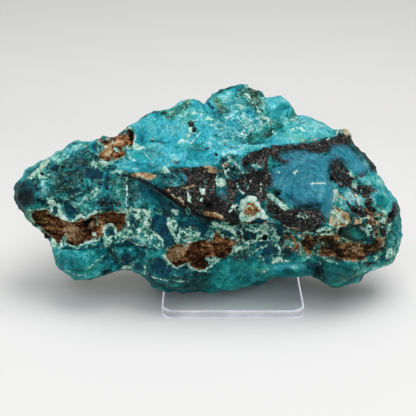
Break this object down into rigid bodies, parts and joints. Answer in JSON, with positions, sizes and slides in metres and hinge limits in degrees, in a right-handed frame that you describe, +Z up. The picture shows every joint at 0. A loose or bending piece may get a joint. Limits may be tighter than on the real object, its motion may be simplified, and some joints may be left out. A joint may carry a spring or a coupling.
{
  "type": "chrysocolla specimen on a clear easel",
  "caption": "Rough turquoise and brown chrysocolla stone, wide and flat-backed, leaning on a small clear L-shaped display easel.",
  "frame": {"origin": "centre of the easel foot's flat underside, on the surface that it stands on", "axes": "+X to the right along the stone's length, +Y away from the viewer towards the easel's back, +Z up"},
  "size_m": [0.1786, 0.0726, 0.0925],
  "materials": {
    "stone": "rough broken chrysocolla, turquoise and teal with black, brown and pale mint patches, satin to dull",
    "clear_acrylic": "clear, polished"
  },
  "bodies": {
    "root": {"chrysocolla_stone": "stone", "acrylic_easel": "clear_acrylic"}
  },
  "joints": []
}
